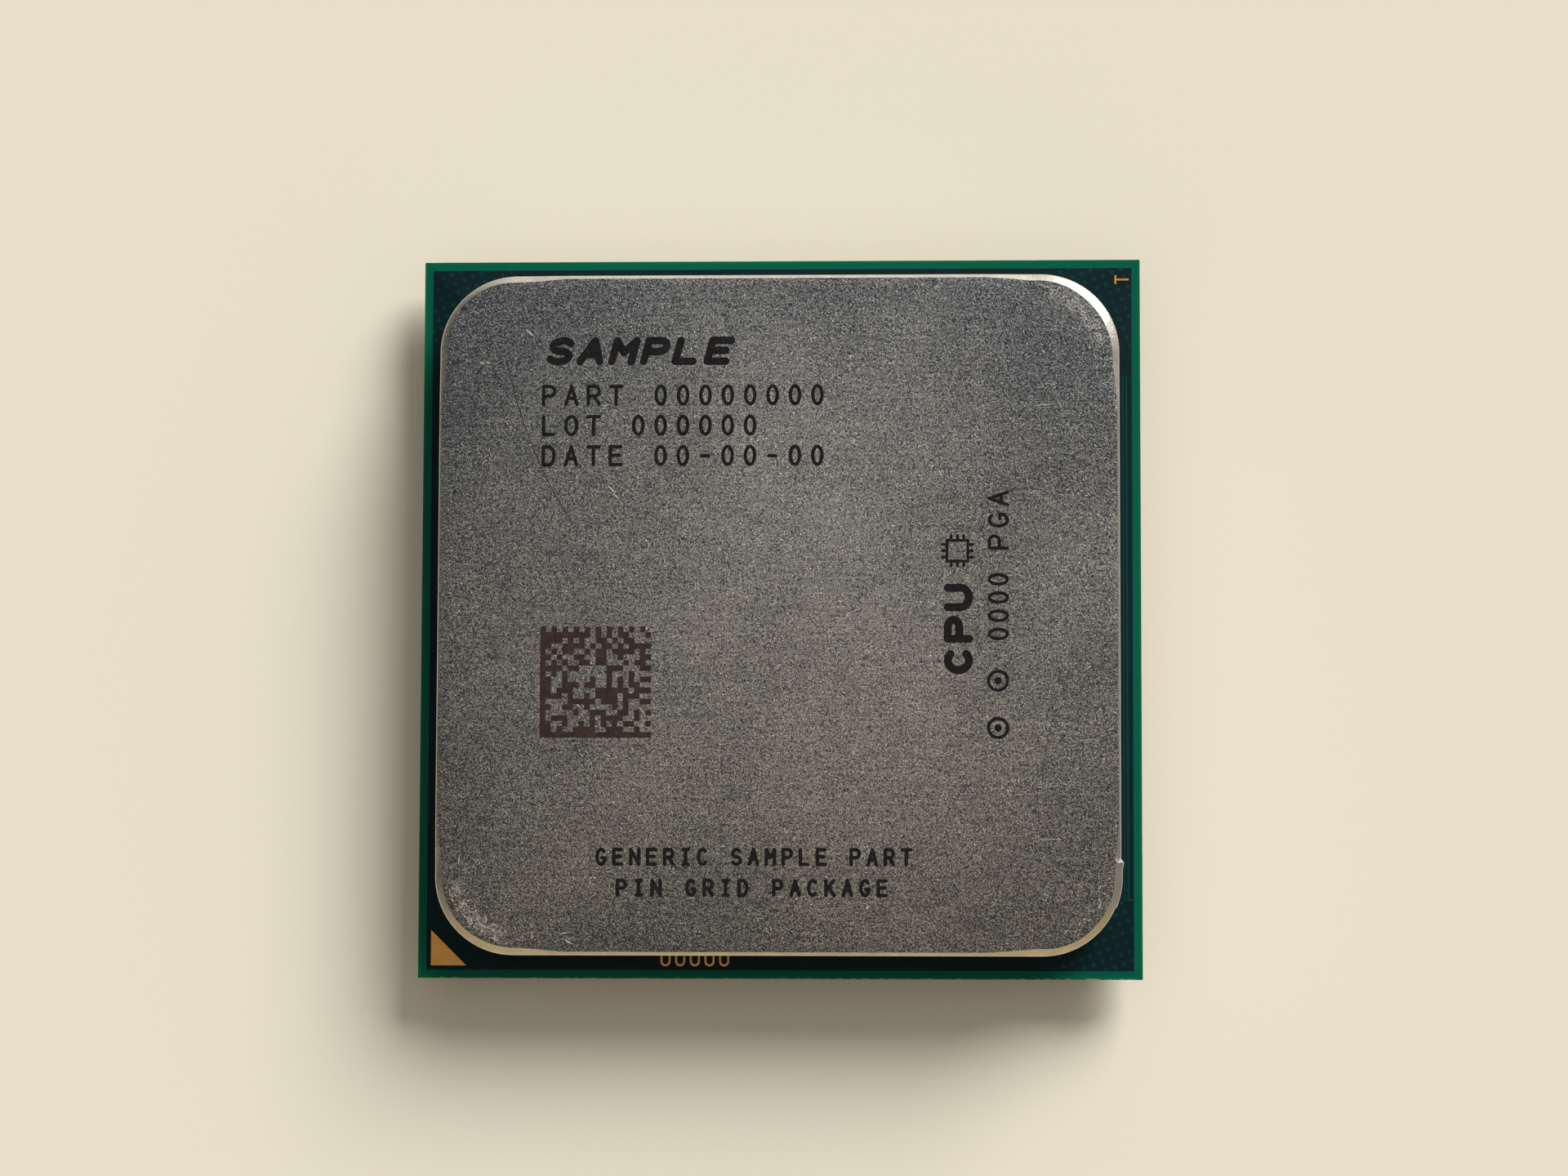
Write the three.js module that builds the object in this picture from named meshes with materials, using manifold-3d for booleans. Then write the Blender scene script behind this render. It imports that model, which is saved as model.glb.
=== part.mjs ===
// A pin-grid computer processor, built as its real stack of pieces.
// Millimetres, +Z up. The package lies flat with its lid up: the pin tips are at z = 0,
// the origin is under the centre of the board, and the lid's label reads upright along +Y.
// The corner marker, for pin A1, is at -X -Y.
import * as THREE from "three";
import { ConvexGeometry } from "three/addons/geometries/ConvexGeometry.js";
import { mergeVertices } from "three/addons/utils/BufferGeometryUtils.js";
import Module from "manifold-3d";

const wasm = await Module();
wasm.setup();

// Driving dimensions
const boardSide = 40;
const boardThickness = 1.1;
const pinPitch = 1.27;
const pinWidth = 0.3;
const pinLength = 2.05;
const padStripThickness = 0.05;
const lidSide = 37.5;
const lidCornerRadius = 4.3;
const lidTopInset = 0.21;
const lidTopCornerRadius = 4.8;
const lidEdgeDrop = 0.35;
const lidHeight = 2.85;
const lidFlangeWidth = 2.4;
const cavityDepth = 1.05;
const cavityCornerRadius = 2.2;
const sealantThickness = 0.1;
const sealantInset = 0.25;
const sealantWidth = 1.9;
const ventWidth = 3;
const dieLength = 21.2;
const dieWidth = 14.9;
const dieThickness = 0.8;
const bumpHeight = 0.08;
const underfillReach = 1.1;
const underfillTopReach = 0.15;
const underfillHeight = 0.55;
const capacitorLength = 1.6;
const capacitorWidth = 0.8;
const capacitorThickness = 0.8;
const capacitorsFromDie = 2.6;
const capacitorRowSpacing = 4.8;
const capacitorColumnSpacing = 5.6;
const goldThickness = 0.03;
const markerLeg = 1.95;
const markerFromLeft = 0.73;
const markerFromBottom = 0.7;
const fiducialBar = 0.5;
const fiducialLength = 0.78;
const fiducialLine = 0.1;
const fiducialFromRight = 0.63;
const fiducialFromTop = 1.13;
const digitWidth = 0.56;
const digitHeight = 0.8;
const digitLine = 0.11;
const digitPitch = 0.81;
const digitCount = 5;
const digitsFromBottom = 0.68;
const digitsCentreX = -4.65;

// Derived levels, from the pin tips up
const boardBottom = pinLength;
const boardTop = boardBottom + boardThickness;
const lidBottom = boardTop + sealantThickness;
const lidTop = lidBottom + lidHeight;
const cavityCeiling = lidBottom + cavityDepth;
const dieBottom = boardTop + bumpHeight;
const dieTop = dieBottom + dieThickness;

// three.js puts twice as many steps on each arc
const arcSteps = 10;
const smallArcSteps = 3;

const looks = {
  nickel: { color: 0x8a8680, roughness: 0.45, metalness: 1 },
  laminate: { color: 0x0f5a44, roughness: 0.4, metalness: 0 },
  gold: { color: 0xd9a441, roughness: 0.3, metalness: 1 },
  sealant: { color: 0x1b1b1d, roughness: 0.7, metalness: 0 },
  silicon: { color: 0x4a4e5a, roughness: 0.15, metalness: 0.6 },
  indium: { color: 0xb9bcc0, roughness: 0.5, metalness: 1 },
  epoxy: { color: 0x23262b, roughness: 0.5, metalness: 0 },
  ceramic: { color: 0x9a7b58, roughness: 0.6, metalness: 0 },
};
const materials = {};
for (const [name, look] of Object.entries(looks)) {
  materials[name] = new THREE.MeshStandardMaterial(look);
}

const processor = new THREE.Group();
processor.name = "processor";

function addPiece(name, geometry, look, x = 0, y = 0, z = 0) {
  const piece = new THREE.Mesh(geometry, materials[look]);
  piece.name = name;
  piece.position.set(x, y, z);
  processor.add(piece);
  return piece;
}

// A block that stands on z = 0, centred on X and Y.
function block(length, width, height) {
  return new THREE.BoxGeometry(length, width, height).translate(0, 0, height / 2);
}

// A rounded rectangle about the origin, as an outline or as a hole in one.
function roundedRectangle(length, width, radius, Kind = THREE.Shape) {
  const x = length / 2 - radius;
  const y = width / 2 - radius;
  const outline = new Kind();
  outline.absarc(x, y, radius, 0, Math.PI / 2);
  outline.absarc(-x, y, radius, Math.PI / 2, Math.PI);
  outline.absarc(-x, -y, radius, Math.PI, 1.5 * Math.PI);
  outline.absarc(x, -y, radius, 1.5 * Math.PI, 2 * Math.PI);
  outline.closePath();
  return outline;
}

// An outline pushed up from z = 0.
function extruded(shape, depth, curveSegments = arcSteps) {
  return new THREE.ExtrudeGeometry(shape, { depth, bevelEnabled: false, curveSegments });
}

// The convex solid over outlines that lie at different heights.
function hullOver(levels) {
  const points = levels.flatMap(({ outline, z }) =>
    outline.getPoints(arcSteps).map((point) => new THREE.Vector3(point.x, point.y, z)),
  );
  return new ConvexGeometry(points);
}

// The first geometry with the second cut out of it.
function cut(geometry, tool) {
  const mesh = solidOf(geometry).subtract(solidOf(tool)).getMesh();
  const result = new THREE.BufferGeometry();
  result.setAttribute("position", new THREE.BufferAttribute(mesh.vertProperties, mesh.numProp));
  result.setIndex(new THREE.BufferAttribute(mesh.triVerts, 1));
  result.computeVertexNormals();
  return result;
}

function solidOf(geometry) {
  const bare = geometry.clone().deleteAttribute("normal").deleteAttribute("uv");
  const merged = mergeVertices(bare);
  const vertProperties = merged.attributes.position.array;
  const triVerts = new Uint32Array(merged.index.array);
  return new wasm.Manifold(new wasm.Mesh({ numProp: 3, vertProperties, triVerts }));
}

// The laminate board that carries everything.
function makeBoard() {
  addPiece("board", block(boardSide, boardSide, boardThickness), "laminate", 0, 0, boardBottom);
}

// The stamped metal lid: straight sides, a small worn bevel, wider at the corners, and a hollow below.
function makeLid() {
  const topSide = lidSide - 2 * lidTopInset;
  const outer = roundedRectangle(lidSide, lidSide, lidCornerRadius);
  const top = roundedRectangle(topSide, topSide, lidTopCornerRadius);
  const body = hullOver([
    { outline: outer, z: 0 },
    { outline: outer, z: lidHeight - lidEdgeDrop },
    { outline: top, z: lidHeight },
  ]);
  const cavitySide = lidSide - 2 * lidFlangeWidth;
  const mouthBelow = 1;
  const cavity = extruded(
    roundedRectangle(cavitySide, cavitySide, cavityCornerRadius),
    cavityDepth + mouthBelow,
  ).translate(0, 0, -mouthBelow);
  addPiece("lid", cut(body, cavity), "nickel", 0, 0, lidBottom);
}

// The bead of sealant under the lid's flange, with a gap that lets the cavity breathe.
function makeSealant() {
  const outerSide = lidSide - 2 * sealantInset;
  const innerSide = outerSide - 2 * sealantWidth;
  const outerRadius = lidCornerRadius - sealantInset;
  const ring = roundedRectangle(outerSide, outerSide, outerRadius);
  ring.holes.push(roundedRectangle(innerSide, innerSide, outerRadius - sealantWidth, THREE.Path));
  const vent = new THREE.BoxGeometry(ventWidth, boardSide / 2, 1).translate(0, boardSide / 4, 0);
  addPiece("sealant_bead", cut(extruded(ring, sealantThickness), vent), "sealant", 0, 0, boardTop);
}

// The silicon die on its bumps, the underfill around it, and the solder between it and the lid.
function makeDieStack() {
  addPiece("die", block(dieLength, dieWidth, dieThickness), "silicon", 0, 0, dieBottom);
  const solder = block(dieLength, dieWidth, cavityCeiling - dieTop);
  addPiece("solder_layer", solder, "indium", 0, 0, dieTop);
  const aroundDie = (reach) => roundedRectangle(dieLength + 2 * reach, dieWidth + 2 * reach, reach);
  const fillet = hullOver([
    { outline: aroundDie(underfillReach), z: 0 },
    { outline: aroundDie(underfillTopReach), z: underfillHeight },
  ]);
  const pocket = block(dieLength, dieWidth, dieThickness).translate(0, 0, bumpHeight);
  addPiece("underfill", cut(fillet, pocket), "epoxy", 0, 0, boardTop);
}

// Bypass capacitors round the die, under the lid: a row of four above and below it, two at each end.
function makeCapacitors() {
  const rowY = dieWidth / 2 + capacitorsFromDie;
  const columnX = dieLength / 2 + capacitorsFromDie;
  let number = 0;
  const place = (length, width, x, y) => {
    number += 1;
    const chip = block(length, width, capacitorThickness);
    addPiece(`capacitor_${number}`, chip, "ceramic", x, y, boardTop);
  };
  for (const side of [-1, 1]) {
    for (const step of [-1.5, -0.5, 0.5, 1.5]) {
      place(capacitorLength, capacitorWidth, step * capacitorRowSpacing, side * rowY);
    }
    for (const step of [-0.5, 0.5]) {
      place(capacitorWidth, capacitorLength, side * columnX, step * capacitorColumnSpacing);
    }
  }
}

// The bare gold marks on the board's top, beside the lid: the triangle at pin A1, a T-shaped
// fiducial lying on its side, and a row of plain zeros.
function makeGoldMarks() {
  const addMark = (name, shape, x, y) => {
    addPiece(name, extruded(shape, goldThickness, smallArcSteps), "gold", x, y, boardTop);
  };
  const left = -boardSide / 2 + markerFromLeft;
  const bottom = -boardSide / 2 + markerFromBottom;
  addMark("corner_marker", outlineThrough([0, 0], [markerLeg, 0], [0, markerLeg]), left, bottom);

  const tip = boardSide / 2 - fiducialFromRight;
  const fiducialY = boardSide / 2 - fiducialFromTop;
  addMark("fiducial", fiducialOutline(), tip, fiducialY);

  const zeroY = -boardSide / 2 + digitsFromBottom + digitHeight / 2;
  for (let i = 0; i < digitCount; i += 1) {
    const x = digitsCentreX + (i - (digitCount - 1) / 2) * digitPitch;
    addMark(`board_digit_${i + 1}`, zeroOutline(), x, zeroY);
  }
}

function outlineThrough(...corners) {
  const outline = new THREE.Shape(corners.map(([x, y]) => new THREE.Vector2(x, y)));
  outline.closePath();
  return outline;
}

// The T's stem ends at the origin and its bar stands at -X.
function fiducialOutline() {
  const line = fiducialLine / 2;
  const bar = fiducialBar / 2;
  const far = -fiducialLength;
  const near = far + fiducialLine;
  return outlineThrough(
    [0, line],
    [near, line],
    [near, bar],
    [far, bar],
    [far, -bar],
    [near, -bar],
    [near, -line],
    [0, -line],
  );
}

function zeroOutline() {
  const radius = digitWidth / 2;
  const zero = roundedRectangle(digitWidth, digitHeight, radius);
  const innerWidth = digitWidth - 2 * digitLine;
  const innerHeight = digitHeight - 2 * digitLine;
  zero.holes.push(roundedRectangle(innerWidth, innerHeight, radius - digitLine, THREE.Path));
  return zero;
}

// The pin grid: 31 by 31 places, letters up the rows, with the places below left empty.
const singleLetters = [..."ABCDEFGHJKLMNPRTUVWY"];
const doubleLetters = [..."ABCDEFGHJKL"].map((letter) => `A${letter}`);
const rowLetters = [...singleLetters, ...doubleLetters];
const lastPlace = (rowLetters.length - 1) / 2;
const centreHalfColumns = 2;
const centreHalfRows = 1;
const keyPlaces = [
  [-lastPlace + 1, -lastPlace],
  [-lastPlace, -lastPlace + 1],
  [10, -10],
  [-10, 10],
];

function isEmptyPlace(column, row) {
  const inCentre = Math.abs(column) <= centreHalfColumns && Math.abs(row) <= centreHalfRows;
  const inCorner = Math.abs(column) === lastPlace && Math.abs(row) === lastPlace;
  const isKey = keyPlaces.some(([keyColumn, keyRow]) => keyColumn === column && keyRow === row);
  return inCentre || inCorner || isKey;
}

// One run of pins as a comb: the thin strip along its top stands for the pins' solder pads.
function makePinRun(name, columns, row) {
  const half = pinWidth / 2;
  const shoulder = pinLength - padStripThickness;
  const outline = new THREE.Shape();
  outline.moveTo(columns[0] * pinPitch - half, pinLength);
  columns.forEach((column, i) => {
    const x = column * pinPitch;
    if (i > 0) outline.lineTo(x - half, shoulder);
    outline.lineTo(x - half, 0);
    outline.lineTo(x + half, 0);
    if (i < columns.length - 1) outline.lineTo(x + half, shoulder);
  });
  outline.lineTo(columns[columns.length - 1] * pinPitch + half, pinLength);
  outline.closePath();
  const comb = extruded(outline, pinWidth).rotateX(Math.PI / 2);
  addPiece(name, comb, "gold", 0, row * pinPitch + half, 0);
}

function makePins() {
  rowLetters.forEach((letters, i) => {
    const row = i - lastPlace;
    const filled = [];
    for (let column = -lastPlace; column <= lastPlace; column += 1) {
      if (!isEmptyPlace(column, row)) filled.push(column);
    }
    if (Math.abs(row) > centreHalfRows) {
      makePinRun(`pin_row_${letters}`, filled, row);
      return;
    }
    makePinRun(`pin_row_${letters}_left`, filled.filter((column) => column < 0), row);
    makePinRun(`pin_row_${letters}_right`, filled.filter((column) => column > 0), row);
  });
}

makeBoard();
makeLid();
makeSealant();
makeDieStack();
makeCapacitors();
makeGoldMarks();
makePins();

export default processor;
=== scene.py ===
"""Looks for the pin-grid processor package: finer pieces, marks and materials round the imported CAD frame.

Sizes are in millimetres and MM turns them into Blender's metres. The package lies flat with its lid up:
+Z is up, the lid's label reads upright along +Y, and the corner marker for pin A1 is at -X -Y.
"""
import math
import random

import bpy
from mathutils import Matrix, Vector, noise


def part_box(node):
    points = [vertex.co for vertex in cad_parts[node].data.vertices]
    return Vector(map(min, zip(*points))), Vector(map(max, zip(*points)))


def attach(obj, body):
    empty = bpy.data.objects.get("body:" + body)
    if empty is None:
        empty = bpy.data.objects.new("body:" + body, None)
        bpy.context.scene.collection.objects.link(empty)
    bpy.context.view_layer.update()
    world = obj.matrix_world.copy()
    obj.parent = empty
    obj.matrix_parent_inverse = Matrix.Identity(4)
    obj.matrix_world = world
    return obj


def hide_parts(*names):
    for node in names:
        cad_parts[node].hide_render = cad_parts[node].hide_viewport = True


MM = 0.001

# Camera and floor
CAMERA_TILT = 5.32
CAMERA_YAW = 2.53
CAMERA_ROLL = -0.06
CAMERA_LENS = 100.1
CAMERA_OFF_AXIS = (10.9, -20.8)
CAMERA_ABOVE_BOARD = 240.9
FLOOR_RADIUS = 6000
FLOOR_COLOUR = (0.8, 0.74, 0.61, 1)
KEY_FROM = (270, 380, 300)
KEY_STRENGTH = 3.7
KEY_SPREAD = 32

# Lid
LID_CORNER_RADIUS = 4.3
LID_RIM = 0.13
LID_RIM_EXTRA = 0.06
LID_CORNER_RIM = 0.39
LID_RIM_BLEND = 3.2
RIM_LEAN = 0.073
RIM_SLOPE = math.radians(33)
RIM_ROLL = 0.08
RIM_ROLL_STEPS = 5
LID_CROWN = 0.012
LID_FLANGE = 2.4
CAVITY_CORNER_RADIUS = 2.2
LID_SIDE_STEPS = 144
LID_CORNER_STEPS = 30
BURR_TOP = -13.45
BURR_LENGTH = 2.75
BURR_DEPTH = 0.5
BURR_LIP = 0.1
BURR_SMEAR = 0.07
BURR_HEEL = 0.05
POLISHED_INSET = 1.15

# Sealant bead
BEAD_INSET = 0.35
BEAD_WIDTH = 1.7
BEAD_VENT = 3.0
BEAD_BULGE = 0.08
BEAD_WANDER = 0.12

# Board
BORDER_WIDTH = 0.47
COPPER_STEP = 0.015
DOT_PITCH = 0.53
DOT_RADIUS = 0.11
DOT_TURN = -21
BOARD_CORNER = 0.06
BOARD_SIDE_STEPS = 150
CUT_ROUGHNESS = 0.02
CUT_FRAY = 0.01
PLY_THICKNESS = 0.055
COPPER_HALF = 0.012
# Each gap's place along X with its half width, and the gaps' ends along Y
TRACE_GAPS = ((19.02, 0.03), (19.22, 0.045))
TRACE_ENDS = (-15.7, 13.4)

# Pins
PIN_RADIUS = 0.15
PIN_HEAD_RADIUS = 0.33
PIN_FILLET_HEIGHT = 0.34
PIN_TIP_RADIUS = 0.08
PIN_TIP_HEIGHT = 0.1

# Capacitors
CAP_SHARE = 0.2
CHIP_RECESS = 0.03

# Marks on the lid
MARK_DEPTH = 0.004
CODE_CELLS = 20
CODE_CELL = 0.305
CODE_LEFT = -13.05
CODE_TOP = -0.76
CODE_DARK_SHARE = 0.53
CODE_OVERLAP = 0.0122

# Wear. SCUFFS gives each corner's signs of X and Y, and how many scuffs it has.
SCUFF_INSET = 0.65
SCUFFS = ((-1, -1, 60), (1, 1, 36), (-1, 1, 9), (1, -1, 7))
FACE_SCRATCHES = 90
SCRATCH_MARGIN = 1.25
LONG_SCRATCH_WIDTH = 0.052

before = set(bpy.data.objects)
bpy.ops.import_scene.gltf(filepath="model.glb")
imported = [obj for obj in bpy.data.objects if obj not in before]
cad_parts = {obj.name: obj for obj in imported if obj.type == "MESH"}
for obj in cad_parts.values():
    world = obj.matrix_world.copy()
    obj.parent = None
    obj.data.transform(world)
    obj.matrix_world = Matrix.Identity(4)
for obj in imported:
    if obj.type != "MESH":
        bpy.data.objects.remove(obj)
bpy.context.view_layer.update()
scene = bpy.context.scene


def box_mm(node):
    """A CAD node's lowest and highest corners, in millimetres."""
    low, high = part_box(node)
    return low / MM, high / MM


board_low, board_high = box_mm("board")
lid_low, lid_high = box_mm("lid")
BOARD_HALF = board_high.x
LID_HALF = lid_high.x


# ---------------------------------------------------------------- mesh helpers


def add_piece(name, solid, materials, replaced=(), sharp=30):
    """Makes a solid a piece of the body, standing in for the CAD nodes it replaces."""
    mesh = bpy.data.meshes.new(name)
    mesh.from_pydata([Vector(v) * MM for v in solid.vertices], [], solid.faces)
    for material in materials:
        mesh.materials.append(material)
    for polygon, kind in zip(mesh.polygons, solid.kinds):
        polygon.use_smooth = True
        polygon.material_index = kind
    mesh.set_sharp_from_angle(angle=math.radians(sharp))
    piece = bpy.data.objects.new(name, mesh)
    scene.collection.objects.link(piece)
    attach(piece, "root")
    if replaced:
        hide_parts(*replaced)


class Solid:
    """Gathers closed lofts in millimetres. kinds holds each face's material number."""

    def __init__(self):
        self.vertices = []
        self.faces = []
        self.kinds = []

    def loft(self, rings, kind=0, closed_path=False):
        """Joins rings of equal length, each listed anticlockwise as seen from the last ring."""
        count = len(rings[0])
        first = len(self.vertices)
        for ring in rings:
            self.vertices.extend(ring)
        spans = len(rings) if closed_path else len(rings) - 1
        for i in range(spans):
            here = first + i * count
            above = first + (i + 1) % len(rings) * count
            for j in range(count):
                k = (j + 1) % count
                self.faces.append((here + j, here + k, above + k, above + j))
                self.kinds.append(kind)
        if not closed_path:
            last = first + (len(rings) - 1) * count
            self.faces.append(tuple(first + j for j in reversed(range(count))))
            self.faces.append(tuple(last + j for j in range(count)))
            self.kinds.extend((kind, kind))

    def block(self, low, high):
        """A box between two corners."""
        corners = [(low[0], low[1]), (high[0], low[1]), (high[0], high[1]), (low[0], high[1])]
        self.loft([[(*corner, z) for corner in corners] for z in (low[2], high[2])])

    def lathe(self, x, y, profile, sides, kind=0):
        """A round solid about a vertical line. profile runs upwards as (radius, z) pairs."""
        rings = [[(*point, z) for point in around((x, y), radius, sides)] for radius, z in profile]
        self.loft(rings, kind)

    def ribbon(self, path, half_width, low, high, closed_path=False):
        """A flat stroke along a path on the XY plane, with round ends."""
        points = [Vector(p) for p in path]
        widths = [half_width] * len(points)
        if not closed_path:
            points, widths = with_round_ends(points, half_width)
        rings = []
        for i, point in enumerate(points):
            before = points[i - 1] if i or closed_path else point
            after = points[(i + 1) % len(points)] if closed_path or i + 1 < len(points) else point
            along = (after - before).normalized()
            side = Vector((-along.y, along.x)) * widths[i]
            left, right = point + side, point - side
            rings.append([(*left, high), (*right, high), (*right, low), (*left, low)])
        self.loft(rings, closed_path=closed_path)


def with_round_ends(points, half_width):
    """The path lengthened by half a circle at each end, and the half width at each point."""
    steps = (80, 55, 30)
    start = (points[0] - points[1]).normalized()
    end = (points[-1] - points[-2]).normalized()
    heads = [points[0] + start * half_width * math.sin(math.radians(a)) for a in steps]
    tails = [points[-1] + end * half_width * math.sin(math.radians(a)) for a in reversed(steps)]
    narrow = [half_width * math.cos(math.radians(a)) for a in steps]
    widths = narrow + [half_width] * len(points) + narrow[::-1]
    return heads + points + tails, widths


def smooth_step(t):
    """0 to 1 as t goes from 0 to 1, level at both ends."""
    t = min(1.0, max(0.0, t))
    return t * t * (3 - 2 * t)


def bell(t, middle, spread):
    """1 at the middle, falling away smoothly on both sides."""
    return math.exp(-(((t - middle) / spread) ** 2))


def around(centre, radius, sides):
    """Points on a circle, anticlockwise."""
    turns = [2 * math.pi * k / sides for k in range(sides)]
    return [(centre[0] + radius * math.cos(a), centre[1] + radius * math.sin(a)) for a in turns]


def square_stations(half, radius, straight_steps, corner_steps):
    """Points round a rounded square, as (point, outward normal, distance to the nearest corner arc)."""
    flat = half - radius
    stations = []
    for quarter in range(4):
        turn = quarter * math.pi / 2
        cos, sin = round(math.cos(turn)), round(math.sin(turn))
        local = []
        for i in range(straight_steps):
            y = -flat + 2 * flat * i / straight_steps
            local.append((half, y, 1.0, 0.0, flat - abs(y)))
        for i in range(corner_steps):
            a = math.pi / 2 * i / corner_steps
            nx, ny = math.cos(a), math.sin(a)
            local.append((flat + radius * nx, flat + radius * ny, nx, ny, 0.0))
        for x, y, nx, ny, away in local:
            point = Vector((x * cos - y * sin, x * sin + y * cos))
            normal = Vector((nx * cos - ny * sin, nx * sin + ny * cos))
            stations.append((point, normal, away))
    return stations


# ------------------------------------------------------------ material helpers


def new_material(name, roughness, metallic=0.0, specular=0.5):
    """A material with its constants set, then its node tree and its shader."""
    material = bpy.data.materials.new(name)
    material.use_nodes = True
    shader = material.node_tree.nodes["Principled BSDF"]
    shader.inputs["Roughness"].default_value = roughness
    shader.inputs["Metallic"].default_value = metallic
    shader.inputs["Specular IOR Level"].default_value = specular
    return material, material.node_tree, shader


def feed(tree, socket, value):
    """Links a node or a socket to an input, or sets a plain value on it."""
    if isinstance(value, bpy.types.Node):
        value = value.outputs[0]
    if isinstance(value, bpy.types.NodeSocket):
        tree.links.new(value, socket)
    else:
        socket.default_value = value


def node(tree, kind, inputs=None, **settings):
    """Adds a shader node, with its settings made and its inputs fed."""
    made = tree.nodes.new("ShaderNode" + kind)
    for key, value in settings.items():
        setattr(made, key, value)
    for key, value in (inputs or {}).items():
        feed(tree, made.inputs[key], value)
    return made


def connect(tree, shader, colour, normal=None, roughness=None):
    """Links what varies over a surface to its shader."""
    for name, value in (("Base Color", colour), ("Normal", normal), ("Roughness", roughness)):
        if value is not None:
            feed(tree, shader.inputs[name], value)


def place_in_mm(tree):
    """The piece's own coordinates in millimetres. They are the body's too: all pieces sit at the origin."""
    coordinates = node(tree, "TexCoord")
    scale = (1 / MM, 1 / MM, 1 / MM)
    return node(tree, "Mapping", {"Vector": coordinates.outputs["Object"], "Scale": scale})


def maths(tree, operation, a, b=0.0, clamp=False):
    return node(tree, "Math", {0: a, 1: b}, operation=operation, use_clamp=clamp)


def times(tree, a, b):
    return maths(tree, "MULTIPLY", a, b)


def plus(tree, a, b):
    return maths(tree, "ADD", a, b)


def minus(tree, a, b):
    return maths(tree, "SUBTRACT", a, b)


def size_of(tree, value):
    """The value without its sign."""
    return maths(tree, "ABSOLUTE", value)


def swing(tree, field, amount):
    """A field from 0 to 1, moved to swing evenly about 0."""
    return times(tree, minus(tree, field, 0.5), amount)


def length_of(tree, vector):
    return node(tree, "VectorMath", {0: vector}, operation="LENGTH").outputs["Value"]


def noise_field(tree, place, scale, detail=2.0, stretch=(1, 1, 1), turn=0.0):
    """Smooth noise from 0 to 1, with scale * stretch features a millimetre along the turned axes."""
    turned = {"Vector": place, "Rotation": (0, 0, math.radians(turn)), "Scale": [1 / s for s in stretch]}
    moved = node(tree, "Mapping", turned, vector_type="TEXTURE")
    return node(tree, "TexNoise", {"Vector": moved, "Scale": scale, "Detail": detail})


def ramp(tree, value, low, high, start=0.0, end=1.0):
    """value from low to high, mapped to start to end and held there."""
    levels = {"Value": value, "From Min": low, "From Max": high, "To Min": start, "To Max": end}
    return node(tree, "MapRange", levels)


def mix_colours(tree, share, first, second):
    """The first colour where share is 0 and the second where it is 1."""
    return node(tree, "Mix", {0: share, 6: first, 7: second}, data_type="RGBA").outputs[2]


def bump(tree, height, depth, strength=0.5):
    """A bump of the given depth in millimetres."""
    return node(tree, "Bump", {"Height": height, "Distance": depth * MM, "Strength": strength})


def blasted_grain(tree, place):
    """Short strokes in all directions, some proud and some sunk, as blasting and tumbling leave them."""
    stroke = (10, 28, 14)
    proud = None
    sunk = None
    for turn in (8, 68, 128):
        field = noise_field(tree, place, 1.0, 1.0, stroke, turn)
        other = noise_field(tree, place, 1.0, 1.0, stroke, turn + 30)
        proud = field if proud is None else maths(tree, "MAXIMUM", proud, field)
        sunk = other if sunk is None else maths(tree, "MINIMUM", sunk, other)
    both = times(tree, plus(tree, proud, sunk), 0.5)
    sand = swing(tree, noise_field(tree, place, 15.0, 1.0), 0.35)
    return ramp(tree, plus(tree, both, sand), 0.42, 0.59)


# ------------------------------------------------------------------- materials


def lid_material():
    """Blasted nickel plate: strokes of grain, faint streaks along X, blotches, polished corner arcs, and
    painted reflection: warm towards the front, cool at the back, with warm light specks and cool dark
    specks.
    """
    material, tree, shader = new_material("blasted_nickel", 0.4, metallic=1.0)
    place = place_in_mm(tree)
    axes = node(tree, "SeparateXYZ", {"Vector": place})
    grain = blasted_grain(tree, place)
    streaks = noise_field(tree, place, 1.0, 3.0, (0.3, 7.0, 1.0))
    blotches = noise_field(tree, place, 0.11, 4.0)
    rubbed = times(tree, polished_arcs(tree, axes, blotches), plus(tree, grain, 0.1))
    tone = plus(tree, swing(tree, streaks, 0.42), swing(tree, blotches, 0.5))
    tone = plus(tree, tone, times(tree, rubbed, 0.45))
    tone = minus(tree, tone, times(tree, darker_outwards(tree, place), 0.28))
    shade = maths(tree, "ADD", grain, tone, clamp=True)
    # Painted reflection: the colours run from warm at the front (-Y) to cool at the back, as a warm floor
    # in front reflects in the plate. There is painted glint too: the grain is the plate's own, but its
    # light specks are warm and its dark specks cool, as glints of warm light and cool shade.
    painted_tint_to_back = ramp(tree, axes.outputs[1], -LID_HALF, LID_HALF)
    dark = mix_colours(tree, painted_tint_to_back, (0.06, 0.061, 0.062, 1), (0.048, 0.06, 0.078, 1))
    light = mix_colours(tree, painted_tint_to_back, (0.69, 0.61, 0.485, 1), (0.61, 0.59, 0.545, 1))
    colour = mix_colours(tree, shade, dark, light)
    connect(tree, shader, colour, bump(tree, grain, 0.007, 0.8), ramp(tree, grain, 0.0, 1.0, 0.32, 0.24))
    return material


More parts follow.
